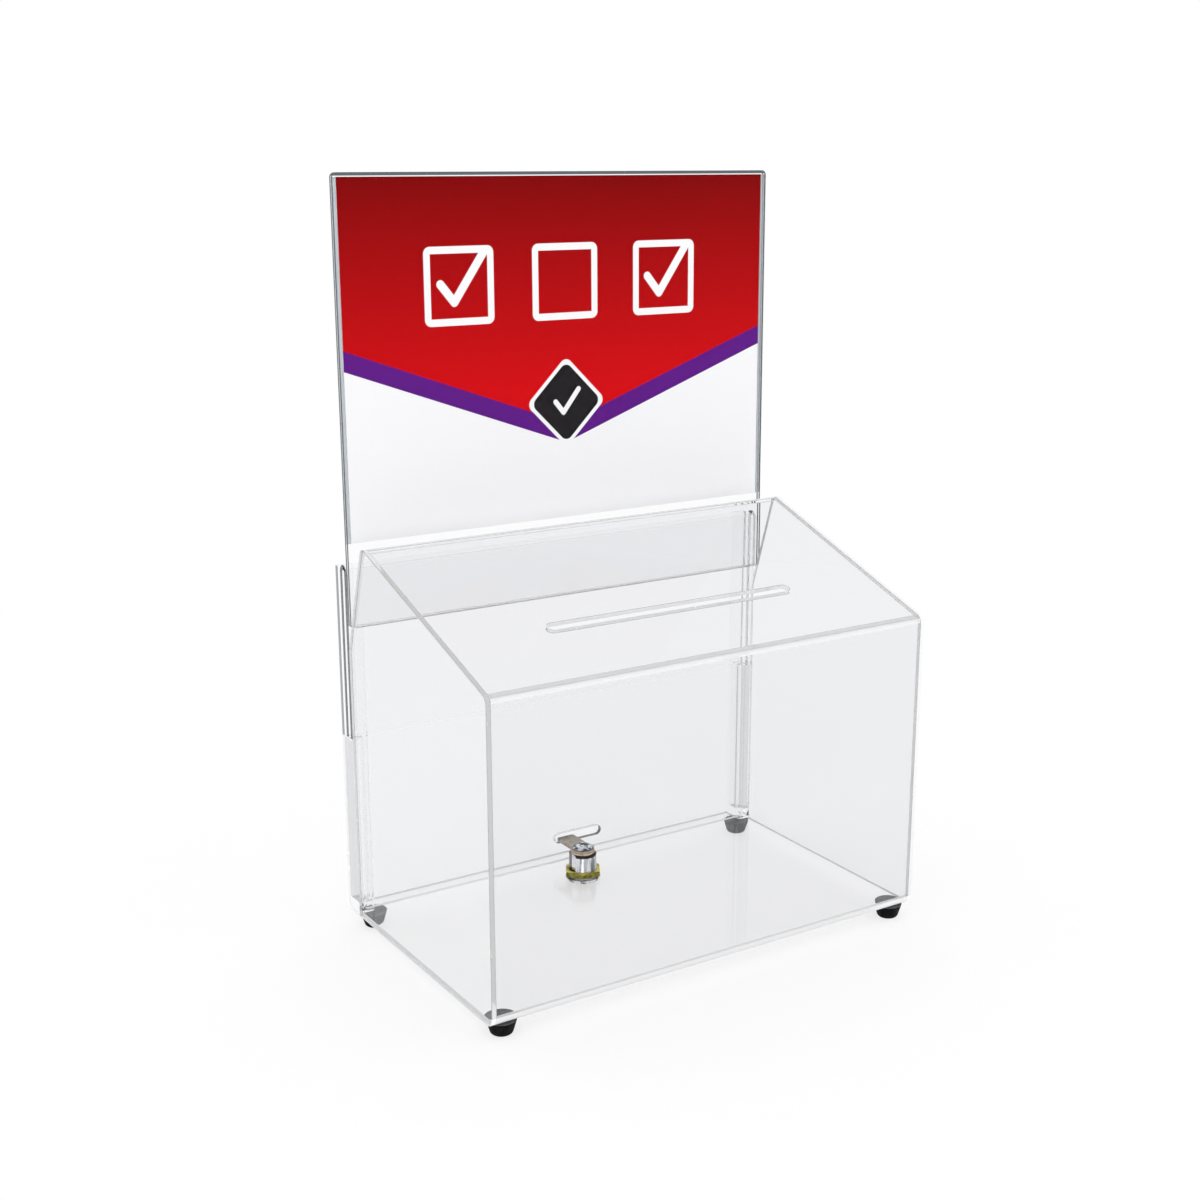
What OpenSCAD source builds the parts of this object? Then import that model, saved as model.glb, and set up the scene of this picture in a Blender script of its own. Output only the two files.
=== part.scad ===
// Clear acrylic ballot box on four rubber feet. A sloping front lid carries the paper slot, a lift-out
// holder for an A4 landscape card stands in the pocket behind the ridge, and a sliding rear door is
// held by a cam lock in the floor. All sizes in mm, Z up, front of the box towards -Y.

/* [Box] */

// Outer width over both side panels
box_width = 303; // [240:1:420]
// Depth from the front face to the rear edge of the side panels
box_depth = 173; // [140:1:260]
// Height of the front face above the floor's underside
front_height = 190; // [150:1:260]
// Height of the ridge above the floor's underside
ridge_height = 241; // [225:1:320]
// How far the ridge lies in front of the rear edge
ridge_setback = 22; // [16:1:40]
// Height of the knee where the rear slant meets the upright rear edge
knee_height = 173; // [140:0.5:200]
// Thickness of the acrylic sheet
sheet = 3; // [2.5:0.5:4]
// Outside bend radius where floor and front meet
bottom_bend = 6; // [5:0.5:12]
// Outside bend radius where front and lid meet
lid_bend = 8; // [5:0.5:14]
// Outside bend radius of the ridge
ridge_bend = 4.5; // [4.2:0.1:8]

/* [Paper slot] */

// Length of the slot in the lid
slot_length = 170; // [100:1:200]
// Width of the slot in the lid, measured along the slope
slot_width = 7; // [5:0.5:12]
// Distance from the front face to the middle of the slot
slot_setback = 50; // [30:1:90]

/* [Rear door] */

// Width of the strips that stop the door at the rear corners
stop_width = 7; // [6.5:0.5:14]
// Height of the guide rails' upper ends, on which the door's shoulders rest
rail_top = 116; // [80:1:150]
// Height of the guide rails' lower ends
rail_foot = 9; // [6:0.5:20]
// Width of each rail beside the door's edge
rail_land = 6; // [5:0.5:9]
// Depth of the rear bay between side panels and retaining strips
bay_depth = 12.3; // [12.2:0.1:16]
// Height of the door's folded top
door_top = 225; // [205:1:240]
// Height of the retaining strips behind the door's folded top
retainer_top = 223; // [180:1:240]
// Air gap inside the folded top of the door
fold_gap = 3; // [2:0.5:4]
// Play of the door across its thickness
door_play = 0.3; // [0.2:0.05:0.5]
// Play of the door's edges between the rails, each side
door_side_play = 0.4; // [0.2:0.05:1]

/* [Header] */

// Width of the card, A4 landscape
card_width = 297; // [210:1:297]
// Height of the card, A4 landscape
card_height = 210; // [148:1:210]
// Thickness of the card
card_thick = 0.4; // [0.2:0.05:0.5]
// Thickness of each holder sheet
holder_sheet = 1.5; // [1.2:0.1:2]
// Gap between the two holder sheets
holder_gap = 1; // [0.8:0.1:1.2]
// Clear leg below the card
holder_leg = 50; // [40:1:65]
// Clear rim above the card
holder_rim = 2.6; // [2:0.1:8]
// Backward lean of the header in degrees
header_lean = 0.35; // [0:0.05:0.35]
// Distance from the rear edge of the side panels to the header's front face at its foot
header_setback = 4.9; // [4.8:0.1:9]
// Corner radius at the top of the holder
holder_corner = 3; // [1:0.5:10]

/* [Lock] */

// Lock axis to the left of the box's middle
lock_offset = 2.5; // [0:0.5:20]
// Distance from the lock axis to the rear edge of the side panels
lock_setback = 23; // [20:0.5:26]
// Outside diameter of the threaded lock body
body_diameter = 18; // [16:0.5:20]
// Width over the two flats of the lock body
body_flats = 16; // [14.5:0.5:17]
// Height of the lock body's upper end above the floor's underside
body_top = 17.8; // [16:0.1:17.8]
// Width across the flats of the hexagon nut
nut_flats = 22; // [20:0.5:24]
// Height of the hexagon nut
nut_height = 4; // [3:0.5:6]
// Diameter of the key plug
plug_diameter = 11; // [9:0.5:12]
// Width of the cam
cam_width = 12.4; // [10:0.2:13]
// Thickness of the cam
cam_thick = 2; // [1.5:0.1:2.2]
// Running clearance of the plug in the lock body, on the radius
plug_play = 0.06; // [0.03:0.01:0.1]

/* [Feet] */

// Height of each rubber foot
foot_height = 9; // [6:0.5:15]
// Diameter of the foot where it meets the floor
foot_top = 17.5; // [12:0.5:18]
// Diameter of the foot at the ground
foot_ground = 12.5; // [9:0.5:16]
// Distance of each foot's middle from the side panels' outer faces
foot_inset = 11; // [10:0.5:20]
// Distance of the front feet's middles from the front face
foot_front_inset = 9.5; // [9:0.5:20]
// Distance of the rear feet's middles from the retaining strips' rear faces
foot_rear_inset = 14; // [10:0.5:20]

/* [Hidden] */

$fn = 64;
front_y = -(box_depth + bay_depth + sheet) / 2;
rear_edge_y = front_y + box_depth;
back_y = -front_y;
floor_z = foot_height;
half_width = box_width / 2;
inner_half = half_width - sheet;
slope_angle = atan((ridge_height - front_height) / (box_depth - ridge_setback));
slant_angle = atan(ridge_setback / (ridge_height - knee_height));
slant_shift = sheet / cos(slant_angle);
ridge_inside = ridge_bend - sheet - 0.2;
door_front_y = rear_edge_y + door_play;
fold_outer = sheet + fold_gap / 2;
door_foot = sheet + 0.4;
shoulder_gap = 0.3;
door_half_low = half_width - rail_land - door_side_play;
door_half_high = half_width - 0.3;
cam_slot_low = 16.6;
cam_slot_high = 23;
cam_slot_left = 7;
cam_slot_right = 28.3;
foot_edge = 2.6;
// Lets every rounding cross the straight edges beside it instead of only touching them.
arc_bulge = 0.004;
lock_x = -lock_offset;
lock_y = rear_edge_y - lock_setback;
floor_hole_play = 0.1;
cam_tip_gap = 0.3;
holder_width = box_width;
holder_height = holder_leg + card_height + holder_rim;
seat_gap = 0.25;
header_front_y = rear_edge_y - header_setback;
// The foot stands where the slant's outer face comes within the seat gap of the header.
header_foot = knee_height + (header_setback + seat_gap) / tan(slant_angle);
// The bent sheet's rear slant and the corner strips end just below the header's foot.
slant_end = header_foot - seat_gap;
side_rim = (holder_width - card_width) / 2 - 0.3;
washer_thick = 1;
plug_tail = 7;
cam_heel = 15.4;
lift = 0.2;
cam_z = body_top + lift + washer_thick;
screw_z = cam_z + cam_thick;
foot_xs = [-half_width + foot_inset, half_width - foot_inset];
foot_ys = [front_y + foot_front_inset, back_y - foot_rear_inset];

clear_sheet = [0.85, 0.88, 0.9, 0.45];
steel = [0.78, 0.77, 0.74];
chrome = [0.86, 0.86, 0.87];
brass = [0.78, 0.66, 0.3];
copper = [0.72, 0.45, 0.3];
rubber = [0.08, 0.08, 0.09];
paper = [0.9, 0.12, 0.12];

// Unit vector from point a to point b.
function unit(a, b) = (b - a) / norm(b - a);

// Centre of the rounding at convex corner b of the path a, b, c.
function round_centre(a, b, c, r) =
    let (u = unit(b, a), v = unit(b, c), m = (u + v) / norm(u + v), half = acos(u * v) / 2)
    b + m * r / sin(half);

// Distance from corner b to where its rounding starts.
function round_reach(a, b, c, r) = r / tan(acos(unit(b, a) * unit(b, c)) / 2);

// Convex outline with a true arc at every corner whose radius isn't zero.
module rounded_outline(points, radii) {
    count = len(points);
    difference() {
        polygon(points);
        for (i = [0 : count - 1])
            if (radii[i] > 0)
                corner_waste(points[(i + count - 1) % count], points[i], points[(i + 1) % count],
                             radii[i]);
    }
}

// What lies outside the arc at corner b of the path a, b, c.
module corner_waste(a, b, c, r) {
    centre = round_centre(a, b, c, r);
    reach = round_reach(a, b, c, r);
    difference() {
        polygon([centre, centre + 3 * (b + unit(b, a) * reach - centre),
                 centre + 3 * (b + unit(b, c) * reach - centre)]);
        translate(centre) circle(r = r + arc_bulge);
    }
}

// Extrudes a (Y, Z) outline along X from x0 over the given length.
module along_x(x0, length) {
    translate([x0, 0, 0]) rotate([90, 0, 90]) linear_extrude(height = length) children();
}

// Side outline of the box: floor, front, lid, ridge, rear slant and upright rear edge.
module box_outline() {
    rounded_outline([[front_y, floor_z], [front_y, floor_z + front_height],
                     [rear_edge_y - ridge_setback, floor_z + ridge_height],
                     [rear_edge_y, floor_z + knee_height], [rear_edge_y, floor_z]],
                    [bottom_bend, lid_bend, ridge_bend, 0, 0]);
}

// Hollow inside the bent sheet, left open towards the rear below the slant's end.
module hollow_outline() {
    slope_shift = sheet / cos(slope_angle);
    slope_rate = tan(slope_angle);
    slant_rate = tan(slant_angle);
    front_in = front_y + sheet;
    lid_front = floor_z + front_height + sheet * slope_rate - slope_shift;
    // Well behind the rear edge, so that the cut runs out of the sheet.
    open_y = rear_edge_y + bay_depth + 2 * sheet;
    // The lid's and the slant's inner faces meet here.
    ridge_y = rear_edge_y - ridge_setback;
    ridge_in_y = (floor_z + ridge_height - lid_front + slope_rate * front_in
                  + (ridge_y - slant_shift) / slant_rate) / (slope_rate + 1 / slant_rate);
    ridge_in_z = lid_front + slope_rate * (ridge_in_y - front_in);
    slant_in = rear_edge_y - (slant_end - knee_height) * slant_rate - slant_shift;
    rounded_outline([[front_in, floor_z + sheet], [front_in, lid_front], [ridge_in_y, ridge_in_z],
                     [slant_in, floor_z + slant_end], [open_y, floor_z + slant_end],
                     [open_y, floor_z + sheet]],
                    [bottom_bend - sheet, lid_bend - sheet, ridge_inside, 0, 0, 0]);
}

module side_panel(x0) {
    color(clear_sheet) along_x(x0, sheet) box_outline();
}

module side_panel_left() { side_panel(-half_width); }

module side_panel_right() { side_panel(inner_half); }

// One bent sheet: floor with a tongue under the door, front, sloping lid, ridge and rear slant.
module wrap_panel() {
    tongue_half = inner_half - stop_width;
    color(clear_sheet) difference() {
        union() {
            along_x(-inner_half, 2 * inner_half) box_outline();
            translate([-tongue_half, rear_edge_y - 10, floor_z])
                cube([2 * tongue_half, back_y - rear_edge_y + 10, sheet]);
        }
        along_x(-half_width, box_width) hollow_outline();
        paper_slot();
        translate([lock_x, lock_y, floor_z - 1]) intersection() {
            cylinder(r = body_diameter / 2 + floor_hole_play, h = sheet + 2);
            translate([-body_flats / 2 - floor_hole_play, -20, 0])
                cube([body_flats + 2 * floor_hole_play, 40, sheet + 2]);
        }
    }
}

// Round-ended cutter that stands square to the sloping lid.
module paper_slot() {
    translate([0, front_y + slot_setback, floor_z + front_height + slot_setback * tan(slope_angle)])
        rotate([slope_angle, 0, 0]) translate([0, 0, -sheet - 2]) linear_extrude(height = sheet + 4)
            union() {
                square([slot_length - slot_width, slot_width], center = true);
                for (side = [-1, 1])
                    translate([side * (slot_length - slot_width) / 2, 0]) circle(d = slot_width);
            }
}

module door_stop(x0) {
    color(clear_sheet) translate([x0, rear_edge_y - sheet, floor_z + sheet])
        cube([stop_width, sheet, slant_end - sheet]);
}

module door_stop_left() { door_stop(-inner_half); }

module door_stop_right() { door_stop(inner_half - stop_width); }

// Rebated rail: full depth beside the door's edge, with a lip behind it.
module guide_rail() {
    lip_y = rear_edge_y + sheet + 2 * door_play;
    color(clear_sheet) translate([-half_width, 0, floor_z + rail_foot]) union() {
        translate([0, rear_edge_y, 0]) cube([rail_land, bay_depth, rail_top - rail_foot]);
        translate([0, lip_y, 0])
            cube([sheet + stop_width, rear_edge_y + bay_depth - lip_y, rail_top - rail_foot]);
    }
}

module guide_rail_left() { guide_rail(); }

module guide_rail_right() { mirror([1, 0, 0]) guide_rail(); }

// Upright strip behind the rail, turned forward under it at the foot.
module retainer() {
    top_z = floor_z + retainer_top;
    color(clear_sheet) along_x(-half_width, sheet + stop_width) difference() {
        rounded_outline([[rear_edge_y, floor_z], [rear_edge_y, top_z], [back_y, top_z], [back_y, floor_z]],
                        [0, 0, 0, bottom_bend]);
        rounded_outline([[rear_edge_y - 1, floor_z + sheet], [rear_edge_y - 1, top_z + 1],
                         [back_y - sheet, top_z + 1], [back_y - sheet, floor_z + sheet]],
                        [0, 0, 0, bottom_bend - sheet]);
    }
}

module retainer_left() { retainer(); }

module retainer_right() { mirror([1, 0, 0]) retainer(); }

// Sliding door: shoulders rest on the rails, the top is folded back and down as a grip.
module back_door() {
    shoulder_z = floor_z + rail_top + shoulder_gap;
    fold_z = floor_z + door_top - fold_outer;
    fold_y = door_front_y + fold_outer;
    color(clear_sheet) difference() {
        union() {
            translate([-door_half_high, door_front_y, shoulder_z])
                cube([2 * door_half_high, sheet, fold_z - shoulder_z]);
            translate([-door_half_high, door_front_y + sheet + fold_gap, shoulder_z])
                cube([2 * door_half_high, sheet, fold_z - shoulder_z]);
            along_x(-door_half_high, 2 * door_half_high) intersection() {
                translate([fold_y, fold_z]) difference() {
                    circle(r = fold_outer);
                    circle(r = fold_gap / 2);
                }
                translate([fold_y - 20, fold_z]) square([40, 20]);
            }
            translate([-door_half_low, door_front_y, floor_z + door_foot])
                cube([2 * door_half_low, sheet, shoulder_z - floor_z - door_foot]);
        }
        cam_slot();
    }
}

// Round-ended slot in the door, reaching from the locked cam to where it swings clear.
module cam_slot() {
    height = cam_slot_high - cam_slot_low;
    middle_z = floor_z + (cam_slot_high + cam_slot_low) / 2;
    translate([0, door_front_y + sheet + 1, 0]) rotate([90, 0, 0]) linear_extrude(height = sheet + 2)
        union() {
            translate([lock_x - cam_slot_left + height / 2, middle_z - height / 2])
                square([cam_slot_left + cam_slot_right - height, height]);
            for (x = [lock_x - cam_slot_left + height / 2, lock_x + cam_slot_right - height / 2])
                translate([x, middle_z]) circle(d = height);
        }
}

// Places its children on the leaning header: X across, Y through, Z up along it.
module on_header() {
    translate([0, header_front_y, floor_z + header_foot]) rotate([-header_lean, 0, 0]) children();
}

// Holder sheet with rounded upper corners.
module holder_plate() {
    rotate([90, 0, 0]) translate([0, 0, -holder_sheet]) linear_extrude(height = holder_sheet)
        rounded_outline([[-holder_width / 2, 0], [-holder_width / 2, holder_height],
                         [holder_width / 2, holder_height], [holder_width / 2, 0]],
                        [0, holder_corner, holder_corner, 0]);
}

module header_front_sheet() {
    color(clear_sheet) on_header() holder_plate();
}

module header_back_sheet() {
    color(clear_sheet) on_header() translate([0, holder_sheet + holder_gap, 0]) holder_plate();
}

// U-shaped spacer that joins the two sheets and carries the card.
module header_spacer() {
    color(clear_sheet) on_header() translate([-holder_width / 2, holder_sheet, 0]) difference() {
        cube([holder_width, holder_gap, holder_leg + card_height]);
        translate([side_rim, -1, holder_leg])
            cube([holder_width - 2 * side_rim, holder_gap + 2, card_height + 1]);
    }
}

module header_card() {
    color(paper) on_header()
        translate([-card_width / 2, holder_sheet + (holder_gap - card_thick) / 2, holder_leg + 0.1])
            cube([card_width, card_thick, card_height]);
}

// Flanged lock body with two flats, screwed up through the floor.
module lock_body() {
    flange_thick = 2.4;
    color(chrome) translate([lock_x, lock_y, 0]) difference() {
        union() {
            intersection() {
                translate([0, 0, floor_z - 1]) cylinder(d = body_diameter, h = body_top + 1);
                translate([-body_flats / 2, -20, floor_z - 1]) cube([body_flats, 40, body_top + 1]);
            }
            translate([0, 0, floor_z - flange_thick])
                cylinder(r1 = 10.5, r2 = 11.5, h = flange_thick);
        }
        translate([0, 0, floor_z - 5]) cylinder(d = plug_diameter, h = body_top + 10);
    }
}

module lock_nut() {
    color(brass) translate([lock_x, lock_y, floor_z + sheet]) difference() {
        intersection() {
            cylinder(d = nut_flats / cos(30), h = nut_height, $fn = 6);
            cylinder(r1 = nut_flats / 2 + 2.2, r2 = nut_flats / 2 + 0.7, h = nut_height);
            cylinder(r1 = nut_flats / 2 + 0.7, r2 = nut_flats / 2 + 2.2, h = nut_height);
        }
        translate([0, 0, -1]) cylinder(r = body_diameter / 2, h = nut_height + 2);
    }
}

// Key plug with its keyway below and a square tail above for the cam.
module lock_plug() {
    color(steel) translate([lock_x, lock_y, 0]) difference() {
        union() {
            translate([0, 0, floor_z - 2.2])
                cylinder(r = plug_diameter / 2 - plug_play, h = body_top + 2.2 + lift);
            translate([-plug_tail / 2, -plug_tail / 2, floor_z + body_top + lift - 1])
                cube([plug_tail, plug_tail, 1 + washer_thick + cam_thick]);
        }
        translate([-0.9, -3.6, floor_z - 3]) cube([1.8, 7.2, 9]);
        translate([0, 0, floor_z + body_top - 6]) cylinder(d = 3.4, h = 20);
    }
}

module cam_washer() {
    color(copper) translate([lock_x, lock_y, floor_z + body_top + lift]) difference() {
        cylinder(d = 16, h = washer_thick);
        translate([-plug_tail / 2, -plug_tail / 2, -1]) cube([plug_tail, plug_tail, washer_thick + 2]);
    }
}

// Flat cam with a rounded heel and a straight arm that points to the rear.
module lock_cam() {
    reach = lock_setback + door_play - cam_tip_gap;
    color(steel) translate([lock_x, lock_y, floor_z + cam_z]) difference() {
        union() {
            cylinder(d = cam_heel, h = cam_thick);
            linear_extrude(height = cam_thick)
                rounded_outline([[-cam_width / 2, 0], [-cam_width / 2, reach],
                                 [cam_width / 2, reach], [cam_width / 2, 0]], [0, 1.5, 1.5, 0]);
        }
        translate([-plug_tail / 2, -plug_tail / 2, -1]) cube([plug_tail, plug_tail, cam_thick + 2]);
    }
}

// Domed screw with a cross recess that clamps the cam to the plug.
module cam_screw() {
    head = 6.9;
    dome = 13;
    rise = 2.6;
    color(chrome) translate([lock_x, lock_y, floor_z + screw_z]) difference() {
        union() {
            intersection() {
                cylinder(r = head, h = rise);
                translate([0, 0, rise - dome]) sphere(r = dome);
            }
            translate([0, 0, -8]) cylinder(d = 3.4, h = 8.5);
        }
        for (turn = [0, 90])
            rotate([0, 0, turn]) translate([-2.6, -0.5, rise - 1.2]) cube([5.2, 1, 3]);
    }
}

// Tapered rubber foot with a rounded ground edge and a shallow hollow underneath.
module rubber_foot(x, y) {
    color(rubber) translate([x, y, 0]) difference() {
        rotate_extrude() rounded_outline([[0, 0], [0, foot_height], [foot_top / 2, foot_height],
                                          [foot_ground / 2, 0]], [0, 0, 0, foot_edge]);
        translate([0, 0, -1]) cylinder(d = 5, h = 3);
    }
}

module foot_front_left() { rubber_foot(foot_xs[0], foot_ys[0]); }

module foot_front_right() { rubber_foot(foot_xs[1], foot_ys[0]); }

module foot_rear_left() { rubber_foot(foot_xs[0], foot_ys[1]); }

module foot_rear_right() { rubber_foot(foot_xs[1], foot_ys[1]); }

side_panel_left();
side_panel_right();
wrap_panel();
door_stop_left();
door_stop_right();
guide_rail_left();
guide_rail_right();
retainer_left();
retainer_right();
back_door();
header_front_sheet();
header_back_sheet();
header_spacer();
header_card();
lock_body();
lock_nut();
lock_plug();
cam_washer();
lock_cam();
cam_screw();
foot_front_left();
foot_front_right();
foot_rear_left();
foot_rear_right();
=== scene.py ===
from math import atan, atan2, cos, pi, radians, sin, tan
import bmesh
import bpy
from mathutils import Matrix, Vector


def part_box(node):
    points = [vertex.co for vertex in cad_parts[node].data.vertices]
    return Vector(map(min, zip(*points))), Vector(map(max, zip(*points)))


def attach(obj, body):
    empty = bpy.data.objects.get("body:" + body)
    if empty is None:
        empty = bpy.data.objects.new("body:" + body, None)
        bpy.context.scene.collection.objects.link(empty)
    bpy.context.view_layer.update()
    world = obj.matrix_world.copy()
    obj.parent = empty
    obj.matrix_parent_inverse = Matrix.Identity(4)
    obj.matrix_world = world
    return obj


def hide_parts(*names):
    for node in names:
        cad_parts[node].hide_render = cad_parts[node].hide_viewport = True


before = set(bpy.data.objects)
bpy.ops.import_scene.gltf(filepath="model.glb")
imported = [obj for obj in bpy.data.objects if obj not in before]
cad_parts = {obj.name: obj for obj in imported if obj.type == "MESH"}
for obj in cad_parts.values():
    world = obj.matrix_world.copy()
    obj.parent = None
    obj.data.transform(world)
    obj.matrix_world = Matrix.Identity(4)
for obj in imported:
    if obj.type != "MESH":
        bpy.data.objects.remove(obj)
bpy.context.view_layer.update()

scene = bpy.context.scene
mm = 0.001  # the tables below are in millimetres


def clearSelection():
    bpy.ops.object.select_all(action="DESELECT")


clearSelection()

# The camera stands where the photograph was taken
cameraSpec = {
    "place": (-0.55616, -0.85758, 0.47693),
    "pan": -0.58443,
    "tilt": -0.26404,
    "roll": -0.00535,
    "lens": 52.311,
    "shift": (-0.0397, 0.01237),
    "farClip": 60,
    "bounces": 28,  # a look through the whole box crosses over a dozen acrylic faces
}
bpy.ops.object.camera_add(location=cameraSpec["place"])
camera = bpy.context.object
turn = (Matrix.Rotation(cameraSpec["pan"], 3, "Z") @ Matrix.Rotation(cameraSpec["tilt"], 3, "X")
        @ Matrix.Rotation(cameraSpec["roll"], 3, "Y") @ Matrix.Rotation(pi / 2, 3, "X"))
camera.rotation_euler = turn.to_euler()
camera.data.sensor_width = 36
camera.data.lens = cameraSpec["lens"]
camera.data.shift_x, camera.data.shift_y = cameraSpec["shift"]
camera.data.clip_end = cameraSpec["farClip"]
scene.camera = camera
scene.view_settings.view_transform = "Standard"
scene.cycles.max_bounces = cameraSpec["bounces"]
scene.cycles.transmission_bounces = cameraSpec["bounces"]
scene.cycles.transparent_max_bounces = cameraSpec["bounces"]


# Node helpers

def newMaterial(name):
    # The material, its nodes and links, and the socket that takes its shader
    material = bpy.data.materials.new(name)
    material.use_nodes = True
    make = material.node_tree.nodes
    make.clear()
    return material, make, material.node_tree.links, addNode(make, "OutputMaterial").inputs[0]


def addNode(make, kind, values=None, **settings):
    # A node with its own settings and the values of its input sockets
    node = make.new("ShaderNode" + kind)
    for key, value in settings.items():
        setattr(node, key, value)
    for key, value in (values or {}).items():
        node.inputs[key].default_value = value
    return node


def addSmooth(make, low, high, least=0):
    return addNode(make, "MapRange", {"From Min": low, "From Max": high, "To Min": least},
                   interpolation_type="SMOOTHSTEP")


def mathIn(make, link):
    # A function that adds a Math node and sets or links its inputs
    def calc(operation, *values):
        node = addNode(make, "Math", operation=operation)
        for i, value in enumerate(values):
            if isinstance(value, (int, float)):
                node.inputs[i].default_value = value
            else:
                link.new(value, node.inputs[i])
        return node.outputs[0]
    return calc


def mixShaders(make, link, factor, first, second, surface):
    mix = addNode(make, "MixShader")
    for i, source in enumerate((factor, first.outputs[0], second.outputs[0])):
        link.new(source, mix.inputs[i])
    link.new(mix.outputs[0], surface)


def newGroup(name, inputs, outputs):
    # A group with named number sockets, its nodes and links, what goes in and what comes out
    group = bpy.data.node_groups.new(name, "ShaderNodeTree")
    for way, titles in (("INPUT", inputs), ("OUTPUT", outputs)):
        for title in titles:
            group.interface.new_socket(title, in_out=way, socket_type="NodeSocketFloat")
    make = group.nodes
    given, result = make.new("NodeGroupInput").outputs, make.new("NodeGroupOutput").inputs
    return group, make, group.links, given, result


def addBump(make, link, height, shader, strength, distance):
    bump = addNode(make, "Bump", {"Strength": strength, "Distance": distance})
    link.new(height, bump.inputs["Height"])
    link.new(bump.outputs[0], shader.inputs["Normal"])


def directSight(make, link):
    # 1 for rays of sight: straight from the camera, or by way of metal or glass
    calc, path = mathIn(make, link), addNode(make, "LightPath").outputs
    clearWay = calc("MAXIMUM", path["Is Camera Ray"], path["Is Transmission Ray"])
    return calc("MAXIMUM", clearWay, path["Is Glossy Ray"])


# Studio: a floor that fades to white round the object, a white world and three soft lamps
studioSpec = {
    "floorColour": (0.95, 0.95, 0.952, 1),
    "floorSize": 14,
    "fadeStart": 0.30,
    "fadeEnd": 1.0,
    "nearShare": 0.7,
    "worldStrength": 0.98,
    "white": (1, 1, 1, 1),
}
bpy.ops.mesh.primitive_plane_add(size=studioSpec["floorSize"], location=(0, 0, 0))
floor = bpy.context.object
floor.name = "studioFloor"
material, make, link, surface = newMaterial("studioFloorPaint")
paint = addNode(make, "BsdfDiffuse", {"Color": studioSpec["floorColour"]})
white = addNode(make, "Emission", {"Strength": 1})
seat = addNode(make, "TexCoord")
reach = addNode(make, "VectorMath", operation="LENGTH")
link.new(seat.outputs["Object"], reach.inputs[0])
fade = addSmooth(make, studioSpec["fadeStart"], studioSpec["fadeEnd"], studioSpec["nearShare"])
link.new(reach.outputs["Value"], fade.inputs["Value"])
seenFloor = mathIn(make, link)("MULTIPLY", fade.outputs[0], directSight(make, link))
mixShaders(make, link, seenFloor, paint, white, surface)
floor.data.materials.append(material)

world = bpy.data.worlds.new("studioWorld")
scene.world = world
world.use_nodes = True
make, link = world.node_tree.nodes, world.node_tree.links
make.clear()
dome, seen = (addNode(make, "Background", {"Color": studioSpec["white"], "Strength": strength})
              for strength in (studioSpec["worldStrength"], 1))
mixShaders(make, link, directSight(make, link), dome, seen, addNode(make, "OutputWorld").inputs[0])

lampSpecs = {
    "keyLamp": {"place": (-1.6, -1.4, 2.6), "aim": (0, 0, 0.15), "size": 1.8, "power": 9},
    "fillLamp": {"place": (2.2, -0.6, 2.0), "aim": (0, 0, 0.2), "size": 2.0, "power": 4},
    "frontLamp": {"place": (-0.7, -2.6, 1.3), "aim": (0, 0, 0.3), "size": 1.6, "power": 10},
}
for name, spec in lampSpecs.items():
    bpy.ops.object.light_add(type="AREA", location=spec["place"])
    lamp = bpy.context.object
    lamp.name = name
    lamp.data.size = spec["size"]
    lamp.data.energy = spec["power"]
    way = Vector(spec["aim"]) - Vector(spec["place"])
    lamp.rotation_euler = way.to_track_quat("-Z", "Y").to_euler()
print("studio ready")


# Modelling helpers. Tests compare a face's normal with these shares of an axis, and points
# with these distances in metres
partly, mainly, fully = 0.5, 0.9, 0.999
near, weld = 2e-5, 2e-6


def centreOf(item):
    # In millimetres
    return sum((v.co for v in item.verts), Vector()) / len(item.verts) / mm


def runsAlong(edge, axis):
    return abs(edge.verts[0].co[axis] - edge.verts[1].co[axis]) > 1 * mm


def atLine(y, z):
    # Tests for edges along X through the point (y, z)
    def test(edge):
        return all(abs(v.co.y - y * mm) < near and abs(v.co.z - z * mm) < near for v in edge.verts)
    return test


def makeActive(piece):
    clearSelection()
    piece.select_set(True)
    bpy.context.view_layer.objects.active = piece


def editPiece():
    bpy.ops.object.mode_set(mode="EDIT")
    bpy.ops.mesh.select_all(action="DESELECT")


def leaveEdit():
    bpy.ops.object.mode_set(mode="OBJECT")


def choose(kind, test):
    # In edit mode: selects the verts, edges or faces that pass the test
    bpy.ops.mesh.select_mode(type={"verts": "VERT", "edges": "EDGE", "faces": "FACE"}[kind])
    bpy.ops.mesh.select_all(action="DESELECT")
    shape = bmesh.from_edit_mesh(bpy.context.object.data)
    shape.normal_update()
    for item in [item for item in getattr(shape, kind) if test(item)]:
        item.select_set(True)
    bmesh.update_edit_mesh(bpy.context.object.data)


def pull(x, y, z):
    move = (x * mm, y * mm, z * mm)
    bpy.ops.mesh.extrude_region_move(TRANSFORM_OT_translate={"value": move})


def cutSelected(point, normal, trim=False):
    # Cuts by a plane; trim takes off what lies beyond it and fills the cut
    bpy.ops.mesh.bisect(plane_co=[value * mm for value in point], plane_no=normal,
                        use_fill=trim, clear_outer=trim)


def cutAll(point, normal, trim=False):
    bpy.ops.mesh.select_all(action="SELECT")
    cutSelected(point, normal, trim)


def roundEdges(test, reach, segments):
    choose("edges", test)
    bpy.ops.mesh.bevel(offset=reach * mm, offset_type="OFFSET", segments=segments, profile=0.5,
                       affect="EDGES", clamp_overlap=False)


def roundBlock(way, reach, segments, fromY=-1000):
    # Rounds those edges of the active block that run one way and lie behind fromY
    editPiece()
    roundEdges(lambda e: runsAlong(e, way) and centreOf(e).y > fromY, reach, segments)
    leaveEdit()


def settle(piece):
    # Puts the piece's place, turn and scale into its mesh
    makeActive(piece)
    bpy.ops.object.transform_apply(location=True, rotation=True, scale=True)
    return piece


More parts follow.
